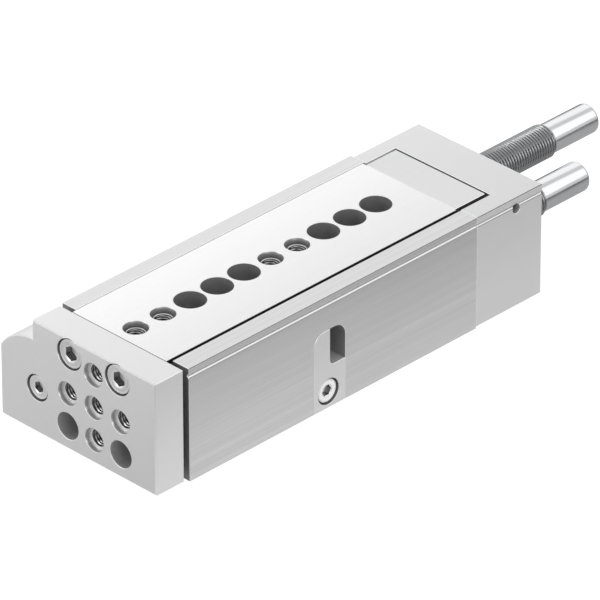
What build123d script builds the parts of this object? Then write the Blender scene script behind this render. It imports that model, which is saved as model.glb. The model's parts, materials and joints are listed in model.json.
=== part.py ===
from build123d import *
import os
from math import sqrt

# Compact pneumatic slide table, in millimetres.
# X runs along the travel, towards the end plate. Z is up. The visible long side faces +Y.
# The origin is the middle of the housing's flat base. Y = 0 is the end plate's hole pattern.

# Driving sizes of the housing
housing_length = 108.5
housing_height = 34.7
housing_right_y = 23.9
housing_left_y = -23.7
edge_groove_top = 1.5
edge_groove_height = 1.7
edge_groove_depth = 0.7
lobe_centre_y = -22.8
lobe_centre_z = 14.2
lobe_radius = 14.8
lobe_side_y = -35.5
lobe_corner_radius = 0.8
channel_right_y = 17.9
channel_left_y = -18.65
front_gap = 1.5
stroke = 40.0

# Driving sizes of the slide and its ball guide
slide_rear_setback = 0.8
slide_thickness = 9.5
slide_lip_gap = 0.3
slide_lip_height = 1.6
floor_gap = 0.35
cage_gap = 0.85
ball_radius = 1.5
ball_clearance = 0.03
ball_pitch = 7.0
ball_count = 9
rail_end_setback = 2.25
rail_thickness = 2.2
rail_height = 7.0
rail_fit = 0.02
cage_thickness = 0.5
cage_height = 4.4
cage_front_setback = 19.0
cage_pocket_clearance = 0.06

# Holes in the slide, one line at an even pitch
hole_pitch = 10.0
slide_hole_y = -0.75
slide_first_hole = 6.25
slide_last_margin = 8.0
thread_group_count = 5
thread_pair_count = 2
sleeve_bore_radius = 3.5
sleeve_bore_depth = 1.6
thread_core_radius = 2.1
access_hole_radius = 4.5

# End plate
plate_thickness = 10.2
plate_base_gap = 0.4
plate_right_inset = 0.65
plate_left_inset = 0.65
plate_pattern_z = 17.5
plate_chamfer = 0.4
plain_hole_radius = 4.0
plate_screw_y = 9.0
plate_screw_head_radius = 4.25
plate_screw_head_length = 5.0
plate_screw_radius = 2.5
plate_screw_socket = 4.0
plate_screw_reach = 11.0
head_clearance = 0.35
small_head_clearance = 0.45
head_sink = 0.5
thread_fit = 0.03
thread_runout = 1.0
shank_clearance = 0.25

# Cylinder in the lobe
rod_y = -21.5
rod_z = 14.3
rod_radius = 3.0
bore_radius = 6.0
running_clearance = 0.05
rod_screw_head_radius = 3.5
rod_screw_head_length = 4.0
rod_screw_radius = 2.0
rod_screw_socket = 3.0
rod_screw_reach = 8.0
gland_radius = 7.5
gland_length = 12.0
gland_fit = 0.05
seal_width = 2.4
seal_radius = 5.2
ring_thickness = 1.0
ring_radius = 8.2
ring_setback = 0.8
ring_hole_radius = 5.6
ring_gap_width = 3.6
o_ring_width = 1.8
o_ring_depth = 1.3
piston_rear_offset = 15.0
piston_length = 12.0
piston_radius = 5.8
piston_groove_radius = 4.1
piston_seal_width = 2.0
piston_seal_inset = 1.2
magnet_width = 3.0
magnet_radius = 5.6
rod_tail_radius = 2.0
nut_flats = 7.0
nut_thickness = 3.2
plug_length = 6.0

# Supply ports and the sensor groove on the lobe's side
port_radius = 2.1
port_depth = 5.5
port_z = 16.0
port_channel_radius = 1.2
front_port_setback = 18.2
rear_port_setback = 9.5
sensor_groove_z = 8.0
sensor_groove_mouth = 2.6
sensor_groove_lip = 0.9
sensor_groove_width = 4.2
sensor_groove_depth = 3.6

# Holes in the base
base_thread_spacing_x = 60.0
base_thread_spacing_y = 30.0
base_thread_depth = 8.0
through_front_count = 2
through_rear_count = 2
through_hole_radius = 2.25
through_head_radius = 3.75
through_seat_z = 6.0
base_sleeve_spacing = 40.0

# Rear cap
cap_length = 25.4
cap_base_gap = 0.5
cap_left_inset = 1.1
cap_right_inset = 0.05
cap_edge_groove_depth = 0.45
cap_lobe_inset = 0.3
stop_block_gap = 0.65
recess_right_y = 17.7
recess_left_y = -17.95
cap_side_hole_radius = 1.4
cap_side_hole_depth = 4.0
cap_side_hole_from_rear = 10.0
cap_side_hole_from_top = 3.6
cap_screw_drop = 13.3
cap_lobe_screw_out = 6.2
cap_lobe_screw_rise = 7.0
cap_screw_radius = 1.5
cap_screw_head_radius = 2.75
cap_screw_head_length = 3.0
cap_screw_socket = 2.5
cap_screw_reach = 9.0
cap_screw_clearance = 0.2

# Stop block behind the slide
stop_block_length = 11.65
stop_block_right_y = 16.36
stop_block_left_y = -17.15
leg_drop = 12.0
leg_clearance = 0.4
pad_width = 7.4
pad_setback = 1.4
holder_width = 12.0
block_screw_spread = 9.0
block_screw_radius = 2.0
block_screw_head_radius = 3.5
block_screw_head_length = 4.0
block_screw_socket = 3.0
block_screw_reach = 9.0

# Shock absorbers, two alike
absorber_spread = 10.0
absorber_from_top = 15.35
absorber_radius = 5.0
absorber_bore_radius = 3.4
absorber_bore_clearance = 0.4
absorber_thread_length = 44.9
absorber_sleeve_length = 17.6
absorber_sleeve_radius = 4.4
absorber_sleeve_round = 1.0
absorber_end_chamfer = 0.6
sleeve_spigot_length = 4.0
bush_length = 4.0
plunger_reach = 8.0
plunger_radius = 1.5
plunger_head_radius = 2.8
plunger_head_length = 1.5
plunger_travel = 6.0
plunger_piston_length = 4.0
plunger_tip_gap = 0.35
extend_tip_gap = 0.75
tip_clearance = 0.6
lock_nut_flats = 13.0
lock_nut_thickness = 4.0
round_nut_radius = 5.65
round_nut_thickness = 3.5
round_nut_slot = 1.6
round_nut_slot_depth = 1.2

# Fixed stop let into the visible side
stop_rear_setback = 50.4
stop_width = 12.0
stop_top_drop = 10.45
stop_corner_radius = 4.0
stop_depth = 17.5
stop_fit = 0.04
notch_width = 5.75
notch_height = 11.3
notch_corner_radius = 1.6
stop_screw_z = 5.05
stop_screw_setback = 5.6
stop_screw_radius = 2.0
stop_screw_head_radius = 3.5
stop_screw_head_length = 4.0
stop_screw_socket = 3.0
stop_screw_reach = 7.0

# Places that follow from the sizes above
front_x = housing_length / 2
rear_x = -housing_length / 2
plate_back_x = front_x + front_gap
plate_front_x = plate_back_x + plate_thickness
slide_rear_x = rear_x + slide_rear_setback
slide_length = plate_back_x - slide_rear_x
slide_right_y = channel_right_y - cage_gap
slide_left_y = channel_left_y + slide_lip_gap
slide_under_left_y = channel_left_y + cage_gap
slide_middle_y = (slide_left_y + slide_right_y) / 2
slide_base_z = housing_height - slide_thickness
slide_middle_z = housing_height - slide_thickness / 2
floor_z = slide_base_z - floor_gap
slide_hole_count = 1 + int((slide_length - slide_first_hole - slide_last_margin) / hole_pitch)
hole_xs = [plate_back_x - slide_first_hole - hole_pitch * n for n in range(slide_hole_count)]
thread_xs = [x for n, x in enumerate(hole_xs) if n % thread_group_count < thread_pair_count]
access_xs = [x for x in hole_xs if x not in thread_xs]
ball_right_y = channel_right_y - cage_gap / 2
ball_left_y = channel_left_y + cage_gap / 2
cap_rear_x = rear_x - cap_length
cap_screw_high_z = housing_height - cap_screw_drop
cap_lobe_screw_spot = (lobe_centre_y - cap_lobe_screw_out, lobe_centre_z + cap_lobe_screw_rise)
cap_screw_spots = ((20.2, cap_screw_high_z), (19.5, 6.0), cap_lobe_screw_spot, (-25.0, 4.6))
block_rear_x = slide_rear_x - stop_block_length
recess_rear_x = block_rear_x - stop_block_gap
absorber_z = housing_height - absorber_from_top
pad_rear_x = block_rear_x + pad_setback
leg_base_z = slide_base_z - leg_drop
pocket_base_z = leg_base_z - leg_clearance
pocket_front_x = slide_rear_x + stroke + round_nut_thickness + leg_clearance
stop_rear_x = rear_x + stop_rear_setback
stop_front_x = stop_rear_x + stop_width
stop_top_z = housing_height - stop_top_drop
notch_low_z = stop_top_z - notch_height
stop_inner_y = housing_right_y - stop_depth
notch_front_x = stop_rear_x + notch_width
retract_tip_x = pad_rear_x - plunger_tip_gap
extend_tip_x = notch_front_x - stroke - extend_tip_gap
groove_front_x = extend_tip_x - plunger_reach + stroke + leg_clearance
piston_rear_x = rear_x + piston_rear_offset
piston_front_x = piston_rear_x + piston_length
gland_front_x = front_x - ring_setback - ring_thickness
gland_rear_x = gland_front_x - gland_length

os.makedirs("parts", exist_ok=True)


def save(part, name):
    """Label a finished piece and write it as its own STEP file."""
    part.label = name
    export_step(part, f"parts/{name}.step")


def outline(left_y, right_y, base_z, lobe_inset, groove_depth):
    """Cross-section shared by the housing and the rear cap, seen from the front."""
    side_y = lobe_side_y + lobe_inset
    radius = lobe_radius - lobe_inset
    low = (side_y, lobe_centre_z + sqrt(radius**2 - (side_y - lobe_centre_y) ** 2))
    high = (left_y, lobe_centre_z + sqrt(radius**2 - (left_y - lobe_centre_y) ** 2))
    groove_z = housing_height - edge_groove_top
    with BuildSketch() as section:
        with BuildLine():
            Polyline(high, (left_y, housing_height), (right_y, housing_height), (right_y, groove_z))
            Polyline(
                (right_y, groove_z),
                (right_y - groove_depth, groove_z - edge_groove_height * 0.55),
                (right_y, groove_z - edge_groove_height),
            )
            Polyline((right_y, groove_z - edge_groove_height), (right_y, base_z), (side_y, base_z), low)
            RadiusArc(low, high, radius)
        make_face()
        foot = section.vertices().group_by(Axis.Y)[0].sort_by(Axis.X)[0]
        fillet(foot, lobe_corner_radius)
    return section.sketch


def hexagon_radius(flats):
    """Corner radius of a hexagon with this size across its flats."""
    return flats / sqrt(3)


def stop_outline(clearance):
    """Round-shouldered outline of the fixed stop, smaller all round by a clearance."""
    top_z = stop_top_z - clearance
    with BuildSketch() as face:
        with Locations(((stop_rear_x + stop_front_x) / 2, top_z / 2)):
            Rectangle(stop_width - 2 * clearance, top_z)
        shoulders = face.vertices().group_by(Axis.Y)[-1]
        fillet(shoulders, stop_corner_radius - clearance)
    return face.sketch


housing_section = outline(housing_left_y, housing_right_y, 0.0, 0.0, edge_groove_depth)
cap_section = outline(
    housing_left_y + cap_left_inset,
    housing_right_y - cap_right_inset,
    cap_base_gap,
    cap_lobe_inset,
    cap_edge_groove_depth,
)


def leg_pockets(rear, front):
    """Grooves that the stop block's two legs run in, from rear to front along X."""
    with BuildPart() as pockets:
        with BuildSketch(Plane.YZ.offset(rear)):
            for centre, width in ((-absorber_spread, pad_width), (absorber_spread, holder_width)):
                with Locations((centre, (pocket_base_z + floor_z) / 2)):
                    Rectangle(width + 2 * leg_clearance, floor_z - pocket_base_z)
        extrude(amount=front - rear)
    return pockets.part


housing_pockets = leg_pockets(rear_x, pocket_front_x)
cap_pockets = leg_pockets(recess_rear_x, rear_x)

# Housing, an extrusion with a channel for the slide and a bore in its lobe
with BuildPart() as housing:
    with BuildSketch(Plane.YZ.offset(rear_x)):
        add(housing_section)
    extrude(amount=housing_length)
    with BuildSketch(Plane.YZ.offset(rear_x)) as channel:
        with Locations(((channel_left_y + channel_right_y) / 2, (floor_z + housing_height) / 2)):
            Rectangle(channel_right_y - channel_left_y, housing_height - floor_z)
        with Locations(((channel_left_y + channel_right_y) / 2, slide_middle_z)):
            Rectangle(channel_right_y - channel_left_y + 2 * rail_thickness, rail_height)
    extrude(amount=housing_length, mode=Mode.SUBTRACT)
    add(housing_pockets, mode=Mode.SUBTRACT)
    # Round-bottomed groove for the moving absorber, and a bore that its plunger passes on the way to the stop
    with BuildSketch(Plane.YZ.offset(pocket_front_x)):
        with Locations((absorber_spread, absorber_z)):
            Circle(absorber_radius + absorber_bore_clearance)
        with Locations((absorber_spread, (absorber_z + floor_z) / 2)):
            Rectangle(2 * (absorber_radius + absorber_bore_clearance), floor_z - absorber_z)
    extrude(amount=groove_front_x - pocket_front_x, mode=Mode.SUBTRACT)
    with BuildSketch(Plane.YZ.offset(groove_front_x)):
        with Locations((absorber_spread, absorber_z)):
            Circle(plunger_head_radius + tip_clearance)
    extrude(amount=stop_rear_x + stop_width / 2 - groove_front_x, mode=Mode.SUBTRACT)
    # Pocket of the fixed stop, open at the side and the base
    with BuildSketch(Plane.XZ.offset(-housing_right_y)):
        add(stop_outline(0.0))
    extrude(amount=stop_depth, mode=Mode.SUBTRACT)
    with BuildSketch(Plane.XZ.offset(-stop_inner_y)):
        with Locations((stop_front_x - stop_screw_setback, stop_screw_z)):
            Circle(stop_screw_radius + thread_fit)
    extrude(amount=stop_screw_reach + thread_runout, mode=Mode.SUBTRACT)
    # Cylinder bore, its wider seat for the gland and the groove of the retaining ring
    with BuildSketch(Plane.YZ.offset(rear_x)):
        with Locations((rod_y, rod_z)):
            Circle(bore_radius)
    extrude(amount=housing_length, mode=Mode.SUBTRACT)
    with BuildSketch(Plane.YZ.offset(gland_rear_x)):
        with Locations((rod_y, rod_z)):
            Circle(gland_radius)
    extrude(amount=front_x - gland_rear_x, mode=Mode.SUBTRACT)
    with BuildSketch(Plane.YZ.offset(gland_front_x)):
        with Locations((rod_y, rod_z)):
            Circle(ring_radius + gland_fit)
    extrude(amount=ring_thickness, mode=Mode.SUBTRACT)
    # Supply ports in the lobe, each with a narrow way into the bore
    port_xs = (front_x - front_port_setback, rear_x + rear_port_setback)
    with BuildSketch(Plane.XZ.offset(-lobe_side_y)):
        with Locations(*[(x, port_z) for x in port_xs]):
            Circle(port_radius)
    extrude(amount=-port_depth, mode=Mode.SUBTRACT)
    with BuildSketch(Plane.XZ.offset(-lobe_side_y)):
        with Locations(*[(x, port_z) for x in port_xs]):
            Circle(port_channel_radius)
    extrude(amount=-(rod_y - lobe_side_y), mode=Mode.SUBTRACT)
    # Sensor groove along the lobe
    with BuildSketch(Plane.YZ.offset(rear_x)):
        with Locations((lobe_side_y + sensor_groove_lip / 2, sensor_groove_z)):
            Rectangle(sensor_groove_lip, sensor_groove_mouth)
        groove_middle = lobe_side_y + (sensor_groove_lip + sensor_groove_depth) / 2
        with Locations((groove_middle, sensor_groove_z)):
            Rectangle(sensor_groove_depth - sensor_groove_lip, sensor_groove_width)
    extrude(amount=housing_length, mode=Mode.SUBTRACT)
    # Threads and sleeve bores in the base
    with BuildSketch(Plane.XY):
        with GridLocations(base_thread_spacing_x, base_thread_spacing_y, 2, 2):
            Circle(thread_core_radius)
    extrude(amount=base_thread_depth, mode=Mode.SUBTRACT)
    with BuildSketch(Plane.XY):
        with Locations((-base_sleeve_spacing / 2, 0), (base_sleeve_spacing / 2, 0)):
            Circle(sleeve_bore_radius)
    extrude(amount=sleeve_bore_depth, mode=Mode.SUBTRACT)
    # Mounting holes from above, below two of the slide's wide holes
    through_spots = [(x, slide_hole_y) for x in (hole_xs[through_front_count], hole_xs[-through_rear_count])]
    with BuildSketch(Plane.XY):
        with Locations(*through_spots):
            Circle(through_hole_radius)
    extrude(amount=floor_z, mode=Mode.SUBTRACT)
    with BuildSketch(Plane.XY.offset(through_seat_z)):
        with Locations(*through_spots):
            Circle(through_head_radius)
    extrude(amount=floor_z - through_seat_z, mode=Mode.SUBTRACT)
    # Threads for the rear cap's screws
    with BuildSketch(Plane.YZ.offset(rear_x)):
        with Locations(*cap_screw_spots):
            Circle(cap_screw_radius + thread_fit)
    extrude(amount=cap_screw_reach + thread_runout, mode=Mode.SUBTRACT)
save(housing.part, "housing")

# Hardened guide rails, let into the channel's walls
for name, wall_y, side in (("guide_rail_left", channel_left_y, -1), ("guide_rail_right", channel_right_y, 1)):
    ball_y = wall_y - side * cage_gap / 2
    with BuildPart() as rail:
        with BuildSketch(Plane.YZ.offset(rear_x + rail_end_setback)):
            with Locations((wall_y + side * (rail_thickness - rail_fit) / 2, slide_middle_z)):
                Rectangle(rail_thickness - rail_fit, rail_height - 2 * rail_fit)
            with Locations((ball_y, slide_middle_z)):
                Circle(ball_radius + ball_clearance, mode=Mode.SUBTRACT)
        extrude(amount=housing_length - 2 * rail_end_setback)
    save(rail.part, name)

# Slide, with a ball groove down each side
with BuildPart() as slide:
    with BuildSketch(Plane.YZ.offset(slide_rear_x)):
        with BuildLine():
            Polyline(
                (slide_left_y, housing_height),
                (slide_right_y, housing_height),
                (slide_right_y, slide_base_z),
                (slide_under_left_y, slide_base_z),
                (slide_under_left_y, housing_height - slide_lip_height),
                (slide_left_y, housing_height - slide_lip_height),
                (slide_left_y, housing_height),
            )
        make_face()
        with Locations((ball_left_y, slide_middle_z), (ball_right_y, slide_middle_z)):
            Circle(ball_radius + ball_clearance, mode=Mode.SUBTRACT)
    extrude(amount=slide_length)
    thread_spots = [(x, slide_hole_y) for x in thread_xs]
    access_spots = [(x, slide_hole_y) for x in access_xs]
    with BuildSketch(Plane.XY.offset(slide_base_z)):
        with Locations(*thread_spots):
            Circle(thread_core_radius)
        with Locations(*access_spots):
            Circle(access_hole_radius)
    extrude(amount=slide_thickness, mode=Mode.SUBTRACT)
    with BuildSketch(Plane.XY.offset(housing_height)):
        with Locations(*thread_spots):
            Circle(sleeve_bore_radius)
    extrude(amount=-sleeve_bore_depth, mode=Mode.SUBTRACT)
    with BuildSketch(Plane.YZ.offset(plate_back_x)):
        with Locations((-plate_screw_y, slide_middle_z), (plate_screw_y, slide_middle_z)):
            Circle(plate_screw_radius + thread_fit)
    extrude(amount=-(plate_screw_reach + thread_runout), mode=Mode.SUBTRACT)
    block_spots = [
        (slide_middle_y - block_screw_spread, slide_middle_z),
        (slide_middle_y + block_screw_spread, slide_middle_z),
    ]
    with BuildSketch(Plane.YZ.offset(slide_rear_x)):
        with Locations(*block_spots):
            Circle(block_screw_radius + thread_fit)
    extrude(amount=block_screw_reach + thread_runout, mode=Mode.SUBTRACT)
save(slide.part, "slide")

# Ball cages, each a pierced strip with its row of balls
cage_length = ball_pitch * ball_count
cage_front_x = front_x - cage_front_setback
cage_middle_x = cage_front_x - cage_length / 2
for side, ball_y in (("left", ball_left_y), ("right", ball_right_y)):
    with BuildPart() as cage:
        with Locations((cage_middle_x, ball_y, slide_middle_z)):
            Box(cage_length, cage_thickness, cage_height)
        with BuildSketch(Plane.XZ.offset(-ball_y)):
            with Locations((cage_middle_x, slide_middle_z)):
                with GridLocations(ball_pitch, ball_pitch, ball_count, 1):
                    Circle(ball_radius + cage_pocket_clearance)
        extrude(amount=cage_thickness, both=True, mode=Mode.SUBTRACT)
    save(cage.part, f"ball_cage_{side}")
    with BuildPart() as balls:
        with Locations((cage_middle_x, ball_y, slide_middle_z)):
            with GridLocations(ball_pitch, ball_pitch, ball_count, 1):
                Sphere(ball_radius)
    save(balls.part, f"guide_balls_{side}")

# End plate, with the same lobe as the housing
plate_left_y = housing_left_y + plate_left_inset
plate_right_y = housing_right_y - plate_right_inset
plate_lobe_low = (
    lobe_side_y,
    lobe_centre_z + sqrt(lobe_radius**2 - (lobe_side_y - lobe_centre_y) ** 2),
)
plate_lobe_high = (
    plate_left_y,
    lobe_centre_z + sqrt(lobe_radius**2 - (plate_left_y - lobe_centre_y) ** 2),
)
cross_spots = [(0, plate_pattern_z)] + [
    (y, plate_pattern_z + z) for y, z in ((hole_pitch, 0), (-hole_pitch, 0), (0, hole_pitch), (0, -hole_pitch))
]
plain_spots = [(y, plate_pattern_z - hole_pitch) for y in (-hole_pitch, hole_pitch)]
plate_screw_spots = [(-plate_screw_y, slide_middle_z), (plate_screw_y, slide_middle_z)]
with BuildPart() as yoke_plate:
    with BuildSketch(Plane.YZ.offset(plate_back_x)):
        with BuildLine():
            Polyline(
                plate_lobe_high,
                (plate_left_y, housing_height),
                (plate_right_y, housing_height),
                (plate_right_y, plate_base_gap),
                (lobe_side_y, plate_base_gap),
                plate_lobe_low,
            )
            RadiusArc(plate_lobe_low, plate_lobe_high, lobe_radius)
        plate_face = make_face()
        corner = plate_face.vertices().group_by(Axis.Y)[0].sort_by(Axis.X)[0]
        fillet(corner, lobe_corner_radius)
    extrude(amount=plate_thickness)
    chamfer(yoke_plate.faces().sort_by(Axis.X)[-1].outer_wire().edges(), plate_chamfer)
    with BuildSketch(Plane.YZ.offset(plate_back_x)):
        with Locations(*cross_spots):
            Circle(thread_core_radius)
        with Locations(*plain_spots):
            Circle(plain_hole_radius)
        with Locations(*plate_screw_spots):
            Circle(plate_screw_radius + shank_clearance)
        with Locations((rod_y, rod_z)):
            Circle(rod_screw_radius + shank_clearance)
    extrude(amount=plate_thickness, mode=Mode.SUBTRACT)
    with BuildSketch(Plane.YZ.offset(plate_front_x)):
        with Locations(*cross_spots):
            Circle(sleeve_bore_radius)
    extrude(amount=-sleeve_bore_depth, mode=Mode.SUBTRACT)
    with BuildSketch(Plane.YZ.offset(plate_front_x)):
        with Locations(*plate_screw_spots):
            Circle(plate_screw_head_radius + head_clearance)
    extrude(amount=-(plate_screw_head_length + head_sink), mode=Mode.SUBTRACT)
    with BuildSketch(Plane.YZ.offset(plate_front_x)):
        with Locations((rod_y, rod_z)):
            Circle(rod_screw_head_radius + small_head_clearance)
    extrude(amount=-(rod_screw_head_length + head_sink), mode=Mode.SUBTRACT)
save(yoke_plate.part, "yoke_plate")


def socket_screws(head_plane, spots, head_radius, head_length, shank_radius, shank_length, socket):
    """Socket head screws whose heads look along the plane's normal, one solid for each spot."""
    with BuildPart() as screws:
        with BuildSketch(head_plane):
            with Locations(*spots):
                Circle(head_radius)
        extrude(amount=-head_length)
        outward = Axis(head_plane.origin, head_plane.z_dir)
        chamfer(screws.faces().group_by(outward)[-1].edges(), head_length / 15)
        with BuildSketch(head_plane.offset(-head_length)):
            with Locations(*spots):
                Circle(shank_radius)
        extrude(amount=-shank_length)
        with BuildSketch(head_plane):
            with Locations(*spots):
                RegularPolygon(hexagon_radius(socket), 6)
        extrude(amount=-head_length / 2, mode=Mode.SUBTRACT)
    return screws.part


yoke_screws = socket_screws(
    Plane.YZ.offset(plate_front_x - head_sink),
    plate_screw_spots,
    plate_screw_head_radius,
    plate_screw_head_length,
    plate_screw_radius,
    plate_thickness - plate_screw_head_length - head_sink + plate_screw_reach,
    plate_screw_socket,
)
save(yoke_screws, "yoke_screws")
rod_screw = socket_screws(
    Plane.YZ.offset(plate_front_x - head_sink),
    [(rod_y, rod_z)],
    rod_screw_head_radius,
    rod_screw_head_length,
    rod_screw_radius,
    plate_thickness - rod_screw_head_length - head_sink + rod_screw_reach,
    rod_screw_socket,
)
save(rod_screw, "rod_screw")

# Piston rod, with a threaded hole at the plate and a thin tail through the piston
with BuildPart() as piston_rod:
    with BuildSketch(Plane.YZ.offset(piston_front_x)):
        with Locations((rod_y, rod_z)):
            Circle(rod_radius)
    extrude(amount=plate_back_x - piston_front_x)
    with BuildSketch(Plane.YZ.offset(piston_front_x)):
        with Locations((rod_y, rod_z)):
            Circle(rod_tail_radius)
    extrude(amount=-(piston_length + nut_thickness))
    with BuildSketch(Plane.YZ.offset(plate_back_x)):
        with Locations((rod_y, rod_z)):
            Circle(rod_screw_radius + thread_fit)
    extrude(amount=-(rod_screw_reach + thread_runout), mode=Mode.SUBTRACT)
save(piston_rod.part, "piston_rod")


def ring(rear, width, inner_radius, outer_radius, centre_y=rod_y, centre_z=rod_z):
    """Plain ring along X, from rear forwards."""
    with BuildPart() as band:
        with BuildSketch(Plane.YZ.offset(rear)):
            with Locations((centre_y, centre_z)):
                Circle(outer_radius)
                Circle(inner_radius, mode=Mode.SUBTRACT)
        extrude(amount=width)
    return band.part


# Piston with two seal grooves and a magnet groove between them
seal_rears = (
    piston_rear_x + piston_seal_inset,
    piston_front_x - piston_seal_inset - piston_seal_width,
)
magnet_rear_x = (piston_rear_x + piston_front_x - magnet_width) / 2
with BuildPart() as piston:
    add(ring(piston_rear_x, piston_length, rod_tail_radius + thread_fit, piston_radius))
    for rear in seal_rears:
        add(ring(rear, piston_seal_width, piston_groove_radius, bore_radius), mode=Mode.SUBTRACT)
    add(ring(magnet_rear_x, magnet_width, piston_groove_radius, bore_radius), mode=Mode.SUBTRACT)
save(piston.part, "piston")
with BuildPart() as piston_seals:
    for rear in seal_rears:
        add(ring(rear, piston_seal_width, piston_groove_radius, bore_radius - running_clearance))
save(piston_seals.part, "piston_seals")
with BuildPart() as piston_magnet:
    add(ring(magnet_rear_x, magnet_width, piston_groove_radius, magnet_radius))
save(piston_magnet.part, "piston_magnet")
with BuildPart() as piston_nut:
    with BuildSketch(Plane.YZ.offset(piston_rear_x)):
        with Locations((rod_y, rod_z)):
            RegularPolygon(hexagon_radius(nut_flats), 6)
            Circle(rod_tail_radius + thread_fit, mode=Mode.SUBTRACT)
    extrude(amount=-nut_thickness)
save(piston_nut.part, "piston_nut")

# Rod gland: bearing bush, rod seal, outer sealing ring and retaining ring
gland_groove_x = gland_rear_x + gland_length / 3
with BuildPart() as rod_gland:
    add(ring(gland_rear_x, gland_length, rod_radius + running_clearance, gland_radius - gland_fit))
    add(ring(gland_front_x - seal_width, seal_width, rod_radius, seal_radius), mode=Mode.SUBTRACT)
    add(
        ring(gland_groove_x, o_ring_width, gland_radius - o_ring_depth, gland_radius + gland_fit),
        mode=Mode.SUBTRACT,
    )
save(rod_gland.part, "rod_gland")
rod_seal = ring(gland_front_x - seal_width, seal_width, rod_radius + running_clearance / 2, seal_radius)
save(rod_seal, "rod_seal")
gland_o_ring = ring(gland_groove_x, o_ring_width, gland_radius - o_ring_depth, gland_radius)
save(gland_o_ring, "gland_o_ring")
with BuildPart() as retaining_ring:
    add(ring(gland_front_x, ring_thickness, ring_hole_radius, ring_radius))
    with Locations((gland_front_x + ring_thickness / 2, rod_y, rod_z + ring_radius)):
        Box(2 * ring_thickness, ring_gap_width, 2 * ring_hole_radius, mode=Mode.SUBTRACT)
save(retaining_ring.part, "gland_retaining_ring")

# Plug at the rear end of the cylinder bore
plug_groove_x = rear_x + (plug_length - o_ring_width) / 2
with BuildPart() as barrel_plug:
    with BuildSketch(Plane.YZ.offset(rear_x)):
        with Locations((rod_y, rod_z)):
            Circle(bore_radius - gland_fit)
    extrude(amount=plug_length)
    add(
        ring(plug_groove_x, o_ring_width, bore_radius - o_ring_depth, bore_radius + gland_fit),
        mode=Mode.SUBTRACT,
    )
save(barrel_plug.part, "barrel_plug")
plug_o_ring = ring(plug_groove_x, o_ring_width, bore_radius - o_ring_depth, bore_radius)
save(plug_o_ring, "barrel_plug_o_ring")

# Rear cap, hollowed for the stop block and bored for the two absorbers
with BuildPart() as rear_cap:
    with BuildSketch(Plane.YZ.offset(cap_rear_x)):
        add(cap_section)
    extrude(amount=cap_length)
    with BuildSketch(Plane.YZ.offset(recess_rear_x)):
        with Locations(((recess_left_y + recess_right_y) / 2, (floor_z + housing_height) / 2)):
            Rectangle(recess_right_y - recess_left_y, housing_height - floor_z)
    extrude(amount=rear_x - recess_rear_x, mode=Mode.SUBTRACT)
    add(cap_pockets, mode=Mode.SUBTRACT)
    with BuildSketch(Plane.YZ.offset(cap_rear_x)):
        with Locations((-absorber_spread, absorber_z)):
            Circle(absorber_radius + thread_fit)
        with Locations((absorber_spread, absorber_z)):
            Circle(absorber_radius + absorber_bore_clearance)
        with Locations(*cap_screw_spots):
            Circle(cap_screw_radius + cap_screw_clearance)
    extrude(amount=cap_length, mode=Mode.SUBTRACT)
    with BuildSketch(Plane.YZ.offset(cap_rear_x)):
        with Locations(*cap_screw_spots):
            Circle(cap_screw_head_radius + cap_screw_clearance)
    extrude(amount=cap_screw_head_length + head_sink, mode=Mode.SUBTRACT)
    with BuildSketch(Plane.XZ.offset(-housing_right_y)):
        with Locations((cap_rear_x + cap_side_hole_from_rear, housing_height - cap_side_hole_from_top)):
            Circle(cap_side_hole_radius)
    extrude(amount=cap_side_hole_depth, mode=Mode.SUBTRACT)
save(rear_cap.part, "rear_cap")
rear_plane = Plane(origin=(0, 0, 0), x_dir=(0, 1, 0), z_dir=(-1, 0, 0))
cap_screws = socket_screws(
    rear_plane.offset(-(cap_rear_x + head_sink)),
    [(y, -z) for y, z in cap_screw_spots],
    cap_screw_head_radius,
    cap_screw_head_length,
    cap_screw_radius,
    cap_length - cap_screw_head_length - head_sink + cap_screw_reach,
    cap_screw_socket,
)
save(cap_screws, "cap_screws")

# Stop block on the slide's rear end: a pad for one absorber, a threaded holder for the other
with BuildPart() as stop_block:
    with BuildSketch(Plane.YZ.offset(block_rear_x)):
        with Locations(((stop_block_left_y + stop_block_right_y) / 2, slide_middle_z)):
            Rectangle(stop_block_right_y - stop_block_left_y, slide_thickness)
        with Locations((absorber_spread, (leg_base_z + slide_middle_z) / 2)):
            Rectangle(holder_width, slide_middle_z - leg_base_z)
    extrude(amount=stop_block_length)
    with BuildSketch(Plane.YZ.offset(pad_rear_x)):
        with Locations((-absorber_spread, (leg_base_z + slide_middle_z) / 2)):
            Rectangle(pad_width, slide_middle_z - leg_base_z)
    extrude(amount=stop_block_length - pad_setback)
    with BuildSketch(Plane.YZ.offset(block_rear_x)):
        with Locations((absorber_spread, absorber_z)):
            Circle(absorber_radius + thread_fit)
        with Locations(*block_spots):
            Circle(block_screw_radius + shank_clearance)
    extrude(amount=stop_block_length, mode=Mode.SUBTRACT)
    with BuildSketch(Plane.YZ.offset(block_rear_x)):
        with Locations(*block_spots):
            Circle(block_screw_head_radius + small_head_clearance)
    extrude(amount=block_screw_head_length + head_sink, mode=Mode.SUBTRACT)
save(stop_block.part, "stop_block")
block_screws = socket_screws(
    rear_plane.offset(-(block_rear_x + head_sink)),
    [(y, -z) for y, z in block_spots],
    block_screw_head_radius,
    block_screw_head_length,
    block_screw_radius,
    stop_block_length - block_screw_head_length - head_sink + block_screw_reach,
    block_screw_socket,
)
save(block_screws, "stop_block_screws")


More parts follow.
